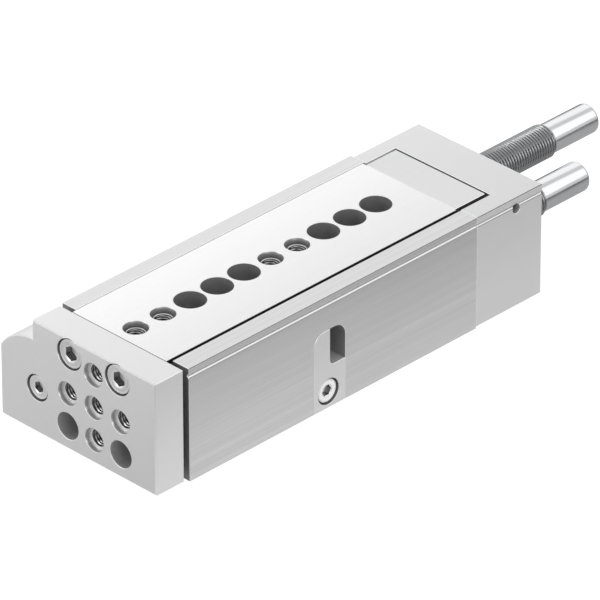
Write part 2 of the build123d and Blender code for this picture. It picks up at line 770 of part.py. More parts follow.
def absorber(name, tip_x, centre_y):
    """Shock absorber along X with its plunger's tip at tip_x, one file for each of its pieces."""
    tube_front = tip_x - plunger_reach
    tube_rear = tube_front - absorber_thread_length
    bush_rear = tube_front - bush_length
    with BuildPart() as tube:
        add(
            ring(
                tube_rear,
                absorber_thread_length,
                absorber_bore_radius,
                absorber_radius,
                centre_y,
                absorber_z,
            )
        )
        ends = tube.edges().filter_by(GeomType.CIRCLE).filter_by(lambda e: e.radius > absorber_radius - 0.01)
        chamfer(ends, absorber_end_chamfer)
    save(tube.part, f"{name}_absorber_tube")
    with BuildPart() as sleeve:
        with BuildSketch(Plane.YZ.offset(tube_rear)):
            with Locations((centre_y, absorber_z)):
                Circle(absorber_sleeve_radius)
        extrude(amount=-absorber_sleeve_length)
        fillet(sleeve.faces().sort_by(Axis.X)[0].edges(), absorber_sleeve_round)
        with BuildSketch(Plane.YZ.offset(tube_rear)):
            with Locations((centre_y, absorber_z)):
                Circle(absorber_bore_radius - thread_fit)
        extrude(amount=sleeve_spigot_length)
    save(sleeve.part, f"{name}_absorber_sleeve")
    bush = ring(
        bush_rear,
        bush_length,
        plunger_radius + running_clearance,
        absorber_bore_radius - thread_fit,
        centre_y,
        absorber_z,
    )
    save(bush, f"{name}_absorber_bush")
    piston_front = bush_rear - plunger_tip_gap
    with BuildPart() as plunger:
        with BuildSketch(Plane.YZ.offset(tip_x)):
            with Locations((centre_y, absorber_z)):
                Circle(plunger_head_radius)
        extrude(amount=-plunger_head_length)
        with BuildSketch(Plane.YZ.offset(tip_x - plunger_head_length)):
            with Locations((centre_y, absorber_z)):
                Circle(plunger_radius)
        extrude(amount=piston_front - tip_x + plunger_head_length)
        with BuildSketch(Plane.YZ.offset(piston_front)):
            with Locations((centre_y, absorber_z)):
                Circle(absorber_bore_radius - running_clearance)
        extrude(amount=-plunger_piston_length)
    save(plunger.part, f"{name}_absorber_plunger")
    return tube_front, tube_rear


absorber("retract", retract_tip_x, -absorber_spread)
absorber("extend", extend_tip_x, absorber_spread)

# Lock nuts: a hexagon behind the cap, a round slotted one in front of the holder
with BuildPart() as hex_nut:
    with BuildSketch(Plane.YZ.offset(cap_rear_x)):
        with Locations((-absorber_spread, absorber_z)):
            RegularPolygon(hexagon_radius(lock_nut_flats), 6)
            Circle(absorber_radius + thread_fit, mode=Mode.SUBTRACT)
    extrude(amount=-lock_nut_thickness)
save(hex_nut.part, "retract_lock_nut")
with BuildPart() as round_nut:
    add(
        ring(
            slide_rear_x,
            round_nut_thickness,
            absorber_radius + thread_fit,
            round_nut_radius,
            absorber_spread,
            absorber_z,
        )
    )
    with BuildSketch(Plane.YZ.offset(slide_rear_x + round_nut_thickness)):
        with Locations((absorber_spread, absorber_z)):
            Rectangle(round_nut_slot, 3 * round_nut_radius)
            Rectangle(3 * round_nut_radius, round_nut_slot)
    extrude(amount=-round_nut_slot_depth, mode=Mode.SUBTRACT)
save(round_nut.part, "extend_lock_nut")

# Fixed stop in the visible side, notched where the moving plunger arrives
with BuildSketch() as stop_face:
    add(stop_outline(stop_fit))
    with Locations((notch_front_x - stop_width / 2, notch_low_z + stop_width)):
        Rectangle(stop_width, 2 * stop_width, mode=Mode.SUBTRACT)
    notch_corner = stop_face.vertices().sort_by_distance((notch_front_x, notch_low_z, 0))[0]
    fillet(notch_corner, notch_corner_radius)
with BuildPart() as side_stop:
    with BuildSketch(Plane.XZ.offset(-housing_right_y)):
        add(stop_face.sketch)
    extrude(amount=stop_depth)
    stop_screw_spot = (stop_front_x - stop_screw_setback, stop_screw_z)
    with BuildSketch(Plane.XZ.offset(-housing_right_y)):
        with Locations(stop_screw_spot):
            Circle(stop_screw_radius + shank_clearance)
    extrude(amount=stop_depth, mode=Mode.SUBTRACT)
    with BuildSketch(Plane.XZ.offset(-housing_right_y)):
        with Locations(stop_screw_spot):
            Circle(stop_screw_head_radius + small_head_clearance)
    extrude(amount=stop_screw_head_length + head_sink, mode=Mode.SUBTRACT)
save(side_stop.part, "side_stop")
side_plane = Plane(origin=(0, housing_right_y - head_sink, 0), x_dir=(1, 0, 0), z_dir=(0, 1, 0))
side_stop_screw = socket_screws(
    side_plane,
    [(stop_screw_spot[0], -stop_screw_spot[1])],
    stop_screw_head_radius,
    stop_screw_head_length,
    stop_screw_radius,
    stop_depth - stop_screw_head_length - head_sink + stop_screw_reach,
    stop_screw_socket,
)
save(side_stop_screw, "side_stop_screw")
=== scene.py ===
import json
import math

import bmesh
import bpy
from mathutils import Euler, Matrix, Vector


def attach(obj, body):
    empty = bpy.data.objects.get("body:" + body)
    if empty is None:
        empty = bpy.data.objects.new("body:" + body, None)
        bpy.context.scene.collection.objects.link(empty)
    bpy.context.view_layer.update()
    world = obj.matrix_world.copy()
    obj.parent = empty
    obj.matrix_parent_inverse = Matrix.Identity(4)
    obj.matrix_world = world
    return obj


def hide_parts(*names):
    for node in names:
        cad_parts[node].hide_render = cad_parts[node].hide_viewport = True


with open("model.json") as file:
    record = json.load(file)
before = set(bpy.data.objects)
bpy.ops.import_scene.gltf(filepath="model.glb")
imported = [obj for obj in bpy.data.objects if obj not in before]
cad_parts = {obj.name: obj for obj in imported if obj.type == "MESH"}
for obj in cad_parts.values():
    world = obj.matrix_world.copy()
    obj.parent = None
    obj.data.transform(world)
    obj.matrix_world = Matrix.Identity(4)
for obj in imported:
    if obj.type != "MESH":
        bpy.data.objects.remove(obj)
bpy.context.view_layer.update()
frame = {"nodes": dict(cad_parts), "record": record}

# The slide table's looks. Lengths below are in millimetres unless a name ends in _m.
# X runs along the travel, towards the end plate. Z is up. The side with the let-in stop faces +Y.

MM = 0.001
bodies = frame["record"]["behaviour"]["bodies"]
body_of = {node: body for body, members in bodies.items() for node in members}
slot_of = {part["node"]: part["material_slot"] for part in frame["record"]["subparts"]}
scene = bpy.context.scene

# Places and sizes that the part's source gives
plate_front_x = 65.95
plate_back_x = 55.75
housing_front_x = 54.25
cap_recess_rear_x = -65.75
cap_rear_x = -79.65
block_rear_x = -65.1
slide_top_z = 34.7
slide_middle_z = 29.95
slide_base_z = 25.2
slide_right_y = 17.05
channel_right_y, channel_left_y = 17.9, -18.65
cap_recess_right_y, cap_recess_left_y = 17.7, -17.95
block_right_y = 16.36
side_y = 23.9
cap_side_y = side_y - 0.05
groove_z = 32.265
# Height of the painted highlight line on the groove's flank
groove_highlight_z = 31.9
# Height where the painted gap shade starts on the slide's side
gap_shade_z = 33.4

hole_pitch = 10.0
first_hole_x = 49.5
slide_hole_y = -0.75
thread_numbers = (0, 1, 5, 6)
slide_hole_radius = 4.5
plate_hole_radius = 4.0
sleeve_bore_radius, sleeve_bore_depth = 3.5, 1.6
core_radius = 2.1
opened_radius = 2.55
cap_side_hole = (cap_rear_x + 10.0, 0, slide_top_z - 3.6)
cap_side_hole_radius = 1.4

head_sink = 0.5
plate_screw_y = 9.0
rod_y, rod_z = -21.5, 14.3
stop_screw_x, stop_screw_z = 2.55, 5.05
stop_rear_x, notch_front_x, stop_top_z, stop_corner = -3.85, 1.9, 24.25, 4.0
cap_screw_places = ((20.2, 21.4), (19.5, 6.0), (-29.0, 21.2), (-25.0, 4.6))
block_screw_places = ((-9.65, 29.95), (8.35, 29.95))
base_thread_places = ((-30, -15), (-30, 15), (30, -15), (30, 15))

absorber_z = 19.35
absorber_y = {"retract": -10.0, "extend": 10.0}
absorber_tip_x = {"retract": -64.05, "extend": -38.85}
absorber_reach = 8.0
absorber_thread_length = 44.9
absorber_sleeve_length = 17.6

# Screws, as (head radius, head length, socket width, shank radius, pitch)
M3 = (2.75, 3.0, 2.5, 1.5, 0.5)
M4 = (3.5, 4.0, 3.0, 2.0, 0.7)
M5 = (4.25, 5.0, 4.0, 2.5, 0.8)
m3_counterbore_radius = 2.95
m4_counterbore_radius = 3.95
m5_counterbore_radius = 4.6

# Fine chamfers on the pieces' outer edges
housing_chamfer = 0.12
plate_chamfer = 0.15
stop_chamfer = 0.1

# Tapped threads, which leave a small gap at each end of their hole
thread_pitch = 0.8
thread_root_radius = 2.5
thread_gap = 0.2
both_thread_gaps = 0.35
base_thread_gap = 0.25
base_thread_length = 7.6


# ---------------------------------------------------------------- node trees


class Wire:
    """An output socket of a node tree. Arithmetic on it adds Math nodes to the tree."""

    def __init__(self, tree, socket=None):
        self.tree = tree
        self.socket = socket

    def node(self, kind, settings=None, sockets=None, output=0):
        """Add a node with these settings and socket values or wires, and give one output."""
        made = self.tree.nodes.new(kind)
        for name, value in (settings or {}).items():
            if name == "items":
                while len(made.index_switch_items) < value:
                    made.index_switch_items.new()
            else:
                setattr(made, name, value)
        for name, value in (sockets or {}).items():
            if isinstance(value, Wire):
                self.tree.links.new(value.socket, made.inputs[name])
            else:
                made.inputs[name].default_value = value
        return Wire(self.tree, made.outputs[output] if made.outputs else None)

    def math(self, operation, first, second=0.0, third=0.0):
        """A Math node of this operation."""
        return self.node(
            "ShaderNodeMath", {"operation": operation}, {0: first, 1: second, 2: third}
        )

    def vector(self, operation, first, second, output="Vector"):
        """A Vector Math node of this operation."""
        return self.node(
            "ShaderNodeVectorMath", {"operation": operation}, {0: first, 1: second}, output
        )

    def __add__(self, other):
        return self.math("ADD", self, other)

    def __sub__(self, other):
        return self.math("SUBTRACT", self, other)

    def __rsub__(self, other):
        return self.math("SUBTRACT", other, self)

    def __mul__(self, other):
        return self.math("MULTIPLY", self, other)

    def __truediv__(self, other):
        return self.math("DIVIDE", self, other)

    def __neg__(self):
        return self.math("MULTIPLY", self, -1.0)

    __radd__ = __add__
    __rmul__ = __mul__


# ---------------------------------------------------------------- materials


def start_material(name):
    """An empty material and the wire that adds nodes to it."""
    material = bpy.data.materials.new(name)
    material.use_nodes = True
    material.node_tree.nodes.clear()
    return material, Wire(material.node_tree)


def stretched_noise(wire, stretch, detail=2.0, rough=0.55):
    """Noise on Object coordinates, with this many grains in a metre along X, Y and Z."""
    place = wire.node("ShaderNodeTexCoord", output="Object")
    scaled = wire.vector("MULTIPLY", place, stretch)
    return wire.node(
        "ShaderNodeTexNoise",
        sockets={"Vector": scaled, "Scale": 1.0, "Detail": detail, "Roughness": rough},
        output="Fac",
    )


def blend_colours(wire, share, first, second):
    """A colour between two, by a share from 0 to 1."""
    return wire.node(
        "ShaderNodeMix",
        {"data_type": "RGBA", "clamp_factor": True},
        {0: share, 6: (*first, 1.0), 7: (*second, 1.0)},
        output=2,
    )


def finish_material(wire, colour, roughness, height, bump_depth, bump_strength, constants):
    """Close a material with a Principled shader. The constants sit on its own sockets."""
    normal = wire.node(
        "ShaderNodeBump",
        sockets={"Strength": bump_strength, "Distance": bump_depth * MM, "Height": height},
    )
    shader = wire.node(
        "ShaderNodeBsdfPrincipled",
        sockets={"Base Color": colour, "Roughness": roughness, "Normal": normal, **constants},
    )
    wire.node("ShaderNodeOutputMaterial", sockets={"Surface": shader})


def painted_light_slope_tone(wire, tone, painted_light_slope):
    """A tone with painted light and shade, which grows by these shares in a metre along X, Y and Z
    from the piece's middle.
    """
    if not any(painted_light_slope):
        return tone
    place = wire.node("ShaderNodeTexCoord", output="Object")
    middle_m = (0.0, 0.0, 0.017)
    away = wire.vector("SUBTRACT", place, middle_m)
    gain = wire.vector("DOT_PRODUCT", away, painted_light_slope, "Value")
    return wire.node(
        "ShaderNodeVectorMath", {"operation": "SCALE"}, {0: tone, "Scale": gain + 1.0}
    )


def shade(colour, factor):
    """A colour made darker or lighter."""
    return tuple(min(channel * factor, 1.0) for channel in colour)


def brushed_metal(
    name, colour, metallic, roughness, contrast, streak=0.22, length=90.0, painted_light_slope=(0.0, 0.0, 0.0)
):
    """Metal with fine brush lines along X, and a few broader ones under them.

    streak and length are a fine line's width and length in millimetres. The last argument tilts
    the tone across the piece as painted light and shade.
    """
    material, wire = start_material(name)
    fine = stretched_noise(wire, (1000 / length, 1000 / streak, 1000 / streak), 3.0)
    broad = stretched_noise(wire, (300 / length, 150 / streak, 150 / streak), 3.0, 0.6)
    patch = stretched_noise(wire, (14.0, 14.0, 14.0), 1.0)
    line = fine * 0.4 + broad * 0.45 + patch * 0.15
    share = (line - 0.5) * 2.4 + 0.5
    tone = blend_colours(
        wire, share, shade(colour, 1 - contrast), shade(colour, 1 + contrast)
    )
    finish_material(
        wire,
        painted_light_slope_tone(wire, tone, painted_light_slope),
        (line - 0.5) * 0.35 + roughness,
        fine,
        0.012,
        0.22,
        {"Metallic": metallic},
    )
    return material


def blasted_metal(name, colour, metallic, roughness, contrast, grain=0.16, painted_light_slope=(0.0, 0.0, 0.0)):
    """Metal with an even, very fine matt grain and faint clouding, its tone tilted across the
    piece by a slope of painted light and shade.
    """
    material, wire = start_material(name)
    fine = stretched_noise(wire, (1000 / grain, 1000 / grain, 1000 / grain), 2.0)
    cloud = stretched_noise(wire, (55.0, 55.0, 55.0), 2.0)
    mixed = fine * 0.6 + cloud * 0.4
    tone = blend_colours(
        wire, (mixed - 0.5) * 2.4 + 0.5, shade(colour, 1 - contrast), shade(colour, 1 + contrast)
    )
    finish_material(
        wire,
        painted_light_slope_tone(wire, tone, painted_light_slope),
        (cloud - 0.5) * 0.2 + roughness,
        fine,
        0.010,
        0.2,
        {"Metallic": metallic},
    )
    return material


def turned_metal(name, colour, metallic, roughness, contrast, ring=0.12, coat=0.0):
    """Metal turned or ground about an axis along X, with fine marks round it."""
    material, wire = start_material(name)
    marks = stretched_noise(wire, (1000 / ring, 30.0, 30.0), 2.0)
    cloud = stretched_noise(wire, (120.0, 120.0, 120.0), 2.0)
    mixed = marks * 0.6 + cloud * 0.4
    tone = blend_colours(
        wire, (mixed - 0.5) * 2.4 + 0.5, shade(colour, 1 - contrast), shade(colour, 1 + contrast)
    )
    finish_material(
        wire,
        tone,
        (mixed - 0.5) * 0.25 + roughness,
        marks,
        0.006,
        0.18,
        {"Metallic": metallic, "Coat Weight": coat, "Coat Roughness": 0.08},
    )
    return material


def moulded_rubber(name, colour, roughness):
    """Dull rubber with a fine moulded grain."""
    material, wire = start_material(name)
    fine = stretched_noise(wire, (5200.0, 5200.0, 5200.0), 2.0)
    cloud = stretched_noise(wire, (300.0, 300.0, 300.0), 2.0)
    tone = blend_colours(
        wire, (cloud - 0.5) * 2.0 + 0.5, shade(colour, 0.7), shade(colour, 1.5)
    )
    finish_material(
        wire, tone, (cloud - 0.5) * 0.2 + roughness, fine, 0.02, 0.3, {"Metallic": 0.0}
    )
    return material


# Several finishes end with three numbers per metre along X, Y and Z that tilt their tone across
# the piece as painted light and shade.
finishes = {
    "anodised_housing": brushed_metal(
        "brushed anodised housing", (0.66, 0.66, 0.66), 0.35, 0.42, 0.10, painted_light_slope=(0.0, -1.5, 0.0)
    ),
    "anodised_plate": brushed_metal(
        "fine anodised plate", (0.785, 0.785, 0.785), 0.3, 0.45, 0.02, 0.12, 2.0, (0.0, -1.0, -5.0)
    ),
    "cast_cap": blasted_metal(
        "fine blasted cap", (0.685, 0.685, 0.69), 0.3, 0.44, 0.02, painted_light_slope=(0.0, -1.7, -2.0)
    ),
    "stop_steel": brushed_metal(
        "ground stop steel", (0.745, 0.745, 0.75), 0.4, 0.40, 0.03, 0.15, 6.0, (0.0, 0.3, -5.0)
    ),
    "slide_steel": brushed_metal(
        "brushed slide steel", (0.86, 0.86, 0.86), 0.6, 0.40, 0.03, 0.3, 140.0, (0.3, -4.0, 0.0)
    ),
    "rail_steel": brushed_metal("hardened rail steel", (0.42, 0.42, 0.43), 0.9, 0.25, 0.06),
    "rod_steel": turned_metal("polished rod steel", (0.70, 0.71, 0.73), 1.0, 0.14, 0.04),
    "ball_steel": turned_metal("polished balls", (0.72, 0.73, 0.75), 1.0, 0.08, 0.03, 0.4),
    "polished_sleeve": turned_metal("polished sleeve", (0.86, 0.865, 0.88), 1.0, 0.16, 0.03, 0.2),
    "thread_steel": turned_metal("dark thread steel", (0.46, 0.465, 0.475), 1.0, 0.3, 0.04, 0.6),
    "screw_steel": turned_metal("nickel plated screws", (0.92, 0.92, 0.92), 0.6, 0.3, 0.03, 0.2),
    "ring_steel": blasted_metal("spring steel", (0.20, 0.20, 0.21), 0.9, 0.35, 0.1),
    "turned_aluminium": turned_metal("turned aluminium", (0.62, 0.62, 0.64), 0.9, 0.28, 0.06),
    "bronze": turned_metal("bearing bronze", (0.50, 0.33, 0.15), 0.95, 0.32, 0.1),
    "seal_rubber": moulded_rubber("seal rubber", (0.022, 0.022, 0.023), 0.55),
    "magnet": moulded_rubber("bonded magnet", (0.05, 0.046, 0.045), 0.7),
    "cage_brass": brushed_metal("rolled brass strip", (0.62, 0.46, 0.18), 0.95, 0.3, 0.08),
}
# Painted highlight: a near-white finish for the chamfers, gap walls beside the slide and cap, the
# end plate's counterbore floors and screw rims.
highlight_edge_metal = blasted_metal("painted highlight edge", (0.95, 0.95, 0.95), 0.5, 0.35, 0.03)
# Painted highlight: a near-white, barely metallic copy of the screw plating for the side stop's
# screw, whose head faces +Y.
highlight_plating = turned_metal("screw plating with painted highlight", (0.95, 0.95, 0.95), 0.15, 0.35, 0.02)
# The housing's +Y side: a darker copy of the housing finish as painted shade, lighter towards the
# bottom and the front as painted light.
shaded_side_metal = brushed_metal(
    "brushed housing side with painted shade", (0.618, 0.618, 0.618), 0.35, 0.42, 0.13, 0.22, 90.0, (1.2, 0.0, -6.5)
)
# The end plate's front face: a darker copy of the plate finish as painted shade, lighter towards
# the top as painted light.
shaded_front_metal = brushed_metal(
    "fine anodised front with painted shade", (0.715, 0.715, 0.715), 0.3, 0.45, 0.02, 0.12, 2.0, (0.0, -1.0, 5.5)
)
# Painted shade in holes and recesses: darker copies of the metal for bore walls, counterbore walls
# and deep holes.
bore_shade_metal = turned_metal("plain bore painted shade", (0.56, 0.56, 0.565), 0.55, 0.4, 0.05)
pocket_shade_metal = turned_metal("counterbore painted shade", (0.50, 0.50, 0.505), 0.7, 0.35, 0.05)
recess_metal = turned_metal("shaded recess", (0.15, 0.15, 0.153), 0.5, 0.4, 0.08)
deep_shade_metal = turned_metal("deep hole painted shade", (0.38, 0.38, 0.384), 0.6, 0.35, 0.06)
# Dark bare milled metal for the housing's front end and the walls beside the slide and stop block,
# partly real and partly painted shade for the gaps.
end_shade_metal = brushed_metal("milled end face with painted shade", (0.38, 0.38, 0.385), 0.9, 0.36, 0.06)
# Painted shade in tapped holes: the threads are darker than the pieces they are cut in.
tapped_thread_shade_metal = turned_metal("tapped thread", (0.52, 0.52, 0.525), 1.0, 0.3, 0.08)
# Painted shade in thread roots: a near-black finish.
root_shade_metal = turned_metal("thread root painted shade", (0.12, 0.12, 0.12), 0.6, 0.4, 0.1)
# Painted shade in screw sockets.
socket_shade_metal = turned_metal("screw socket painted shade", (0.32, 0.32, 0.32), 1.0, 0.25, 0.1)


def make_groove_highlight_metal():
    """Groove flank with painted shade, and a painted highlight line above its lower edge."""
    material, wire = start_material("groove with painted highlight")
    place = wire.node("ShaderNodeTexCoord", output="Object")
    height = wire.node("ShaderNodeSeparateXYZ", sockets={0: place}, output="Z")
    away = wire.math("ABSOLUTE", height - groove_highlight_z * MM) / (0.15 * MM)
    fine = stretched_noise(wire, (11.0, 4500.0, 4500.0), 2.0)
    line = wire.math("MINIMUM", wire.math("MAXIMUM", 1.5 - away, 0.0), 1.0) + (fine - 0.5) * 0.2
    tone = blend_colours(wire, line, (0.34, 0.34, 0.34), (1.0, 1.0, 1.0))
    finish_material(wire, tone, (fine - 0.5) * 0.2 + 0.4, fine, 0.01, 0.2, {"Metallic": 0.4})
    return material


def make_gap_shade_metal():
    """Ground slide side: plain steel low down, with painted gap shade as a dark band along its
    upper edge.
    """
    material, wire = start_material("slide side with painted gap shade")
    place = wire.node("ShaderNodeTexCoord", output="Object")
    height = wire.node("ShaderNodeSeparateXYZ", sockets={0: place}, output="Z")
    fine = stretched_noise(wire, (11.0, 4500.0, 4500.0), 2.0)
    shade_band = (height - gap_shade_z * MM) / (0.25 * MM) + (fine - 0.5) * 0.5
    tone = blend_colours(wire, shade_band, (0.40, 0.40, 0.405), (0.03, 0.03, 0.031))
    finish_material(wire, tone, (fine - 0.5) * 0.2 + 0.35, fine, 0.01, 0.2, {"Metallic": 0.6})
    return material


groove_highlight_metal = make_groove_highlight_metal()
gap_shade_metal = make_gap_shade_metal()
special_finishes = (
    highlight_edge_metal,
    bore_shade_metal,
    recess_metal,
    gap_shade_metal,
    groove_highlight_metal,
    shaded_side_metal,
    pocket_shade_metal,
    shaded_front_metal,
    end_shade_metal,
    deep_shade_metal,
)
# Numbers of the special finishes, almost all painted light and shade: a highlight, bore shade,
# recess shade, gap shade, a groove highlight, side shade, pocket shade, front shade, end shade and
# deep-hole shade.
HIGHLIGHT, BORE_SHADE, SHADED, GAP_SHADE, GROOVE_HIGHLIGHT, SIDE_SHADE, POCKET_SHADE, FRONT_SHADE, END_SHADE, DEEP_SHADE = range(1, 11)


# ---------------------------------------------------------------- pieces


def smooth_by_angle(mesh, degrees=30.0):
    """Smooth faces whose edges stay sharp past this angle."""
    mesh.polygons.foreach_set("use_smooth", [True] * len(mesh.polygons))
    mesh.set_sharp_from_angle(angle=math.radians(degrees))


def signed_volume(mesh):
    """Volume of a closed mesh, below zero where its faces point inwards."""
    mesh.calc_loop_triangles()
    points = [vertex.co for vertex in mesh.vertices]
    return sum(
        points[a].dot(points[b].cross(points[c])) / 6
        for a, b, c in (triangle.vertices for triangle in mesh.loop_triangles)
    )


def add_object(name, mesh):
    """Put a mesh into the scene."""
    piece = bpy.data.objects.new(name, mesh)
    scene.collection.objects.link(piece)
    return piece


def settle(piece, node, *replaced):
    """Give a finished piece its body and the nodes that it stands for."""
    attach(piece, body_of[node])
    if replaced:
        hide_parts(*replaced)
    return piece


# How far off its stated place a face, or a facet's middle on a bore, may lie
FACE_SLACK = 0.012
BORE_SLACK = 0.06


def off_axis(place_m, point, axis):
    """The way to this place from the nearest point of an axis."""
    along = Vector(axis)
    away = place_m - Vector(point) * MM
    return away - along * away.dot(along)


def finished_node(node, chamfer=0.0, tapped=(), bores=(), walls=()):
    """A merged copy of a CAD node with fine chamfers on its outer edges, which get a painted
    highlight.

    tapped are (point, axis): core holes whose walls move out and make room for a thread.
    bores are (point, axis, radius, finish): holes whose walls get the finish of this number.
    walls are (point, normal, finish): flat faces that get the finish of this number.
    """
    work = bmesh.new()
    work.from_mesh(frame["nodes"][node].data)
    bmesh.ops.remove_doubles(work, verts=work.verts, dist=0.0005 * MM)
    bmesh.ops.dissolve_limit(
        work, angle_limit=math.radians(0.5), verts=work.verts, edges=work.edges
    )
    for point, axis in tapped:
        for vertex in work.verts:
            away = off_axis(vertex.co, point, axis)
            if abs(away.length - core_radius * MM) < FACE_SLACK * MM:
                vertex.co += away.normalized() * (opened_radius - core_radius) * MM
    for face in work.faces:
        face.material_index = 0
        for point, axis, radius, finish in bores:
            away = off_axis(face.calc_center_median(), point, axis)
            level = abs(face.normal.dot(Vector(axis))) < 0.1
            if level and abs(away.length - radius * MM) < BORE_SLACK * MM:
                face.material_index = finish
    if chamfer:
        rims = [
            edge
            for edge in work.edges
            if len(edge.link_faces) == 2
            and edge.is_convex
            and edge.calc_face_angle() > math.radians(50)
        ]
        # The chamfers' faces take the painted highlight finish.
        bmesh.ops.bevel(
            work,
            geom=rims,
            offset=chamfer * MM,
            offset_type="OFFSET",
            segments=1,
            profile=0.5,
            affect="EDGES",
            clamp_overlap=False,
            material=HIGHLIGHT,
        )
    for face in work.faces:
        for point, normal, finish in walls:
            outward = Vector(normal).normalized()
            height = (face.calc_center_median() - Vector(point) * MM).dot(outward)
            if face.normal.dot(outward) > 0.998 and abs(height) < FACE_SLACK * MM:
                face.material_index = finish
    flat = [
        all(edge.is_boundary or not 0.01 < edge.calc_face_angle(1.0) < 0.4 for edge in face.edges)
        for face in work.faces
    ]
    mesh = bpy.data.meshes.new(node + "_finished")
    work.to_mesh(mesh)
    work.free()
    smooth_by_angle(mesh)
    mesh.polygons.foreach_set("use_smooth", [not plain for plain in flat])
    for material in (finishes[slot_of[node]], *special_finishes):
        mesh.materials.append(material)
    return settle(add_object(node + "_finished", mesh), node, node)


# ---------------------------------------------------------------- geometry trees


def start_tree(name, inputs):
    """A geometry tree with these named inputs, as (label, socket type, value), and their wires."""
    tree = bpy.data.node_groups.new(name, "GeometryNodeTree")
    tree.interface.new_socket("Spots", in_out="INPUT", socket_type="NodeSocketGeometry")
    tree.interface.new_socket("Geometry", in_out="OUTPUT", socket_type="NodeSocketGeometry")
    for label, kind, value in inputs:
        socket = tree.interface.new_socket(label, in_out="INPUT", socket_type=kind)
        if value is not None:
            socket.default_value = value
    start = tree.nodes.new("NodeGroupInput")
    return tree, {socket.name: Wire(tree, socket) for socket in start.outputs if socket.name}


def end_tree(wire, shape, wires):
    """Put the shape on every spot, make it real, give it its material and close the tree."""
    placed = wire.node(
        "GeometryNodeInstanceOnPoints",
        sockets={"Points": wires["Spots"], "Instance": shape, "Rotation": wires["Turn"]},
    )
    solid = wire.node("GeometryNodeRealizeInstances", sockets={"Geometry": placed})
    coated = wire.node(
        "GeometryNodeSetMaterial", sockets={"Geometry": solid, "Material": wires["Material"]}
    )
    wire.node("NodeGroupOutput", sockets={0: coated})


def ring_grid(wire, steps, around):
    """A grid that a position field can roll up, with its step and turn fields."""
    grid = wire.node(
        "GeometryNodeMeshGrid", sockets={"Vertices X": steps, "Vertices Y": around + 1.0}
    )
    index = wire.node("GeometryNodeInputIndex")
    step = wire.math("FLOOR", (index + 0.001) / (around + 1.0))
    turn = (index - step * (around + 1.0)) / around
    return grid, step, turn


def rolled(wire, grid, radius, height, turn):
    """Roll a grid about the Z axis with this radius and height, and close its seam."""
    angle = turn * (2 * math.pi)
    place = wire.node(
        "ShaderNodeCombineXYZ",
        sockets={
            "X": radius * wire.math("COSINE", angle),
            "Y": radius * wire.math("SINE", angle),
            "Z": height,
        },
    )
    moved = wire.node("GeometryNodeSetPosition", sockets={"Geometry": grid, "Position": place})
    return wire.node(
        "GeometryNodeMergeByDistance", sockets={"Geometry": moved, "Distance": 0.0005 * MM}
    )


def thread_shell(wire, crest, root, wall, length, pitch, around, samples, top):
    """A sleeve down from the height top, with helical ridges and a plain wall behind them."""
    count = wire.math("ROUND", length / pitch * samples) + 1.0
    grid, step, turn = ring_grid(wire, count + 3.0, around)
    along = wire.math("MINIMUM", step / (count - 1.0), 1.0)
    back = wire.math("GREATER_THAN", step, count + 0.5)
    depth = along * length * (1.0 - back)
    after = wire.math("GREATER_THAN", step, count - 0.5)
    on_wall = after * wire.math("LESS_THAN", step, count + 1.5)
    phase = wire.math("FRACT", depth / pitch + turn)
    ridge = wire.math("ABSOLUTE", phase * 2.0 - 1.0) * 1.8 - 0.4
    ridge = wire.math("MAXIMUM", wire.math("MINIMUM", ridge, 1.0), 0.0)
    margin = wire.math("MINIMUM", depth, length - depth)
    fade = wire.math("MINIMUM", margin / (pitch * 0.75), 1.0)
    threaded = root + (crest - root) * ridge * fade
    radius = threaded + (wall - threaded) * on_wall
    return rolled(wire, grid, radius, top - depth, turn)


def make_thread_tree():
    """Tree of a threaded sleeve. With the crest inside the root it is a tapped thread."""
    lengths = ("Crest Radius", "Root Radius", "Wall Radius", "Length", "Pitch")
    tree, wires = start_tree(
        "threaded sleeve",
        [(label, "NodeSocketFloat", MM) for label in lengths]
        + [
            ("Around", "NodeSocketInt", 48),
            ("Samples", "NodeSocketInt", 8),
            ("Turn", "NodeSocketVector", None),
            ("Material", "NodeSocketMaterial", None),
        ],
    )
    wire = Wire(tree)
    shell = thread_shell(
        wire,
        wires["Crest Radius"],
        wires["Root Radius"],
        wires["Wall Radius"],
        wires["Length"],
        wires["Pitch"],
        wires["Around"],
        wires["Samples"],
        0.0,
    )
    end_tree(wire, shell, wires)
    return tree


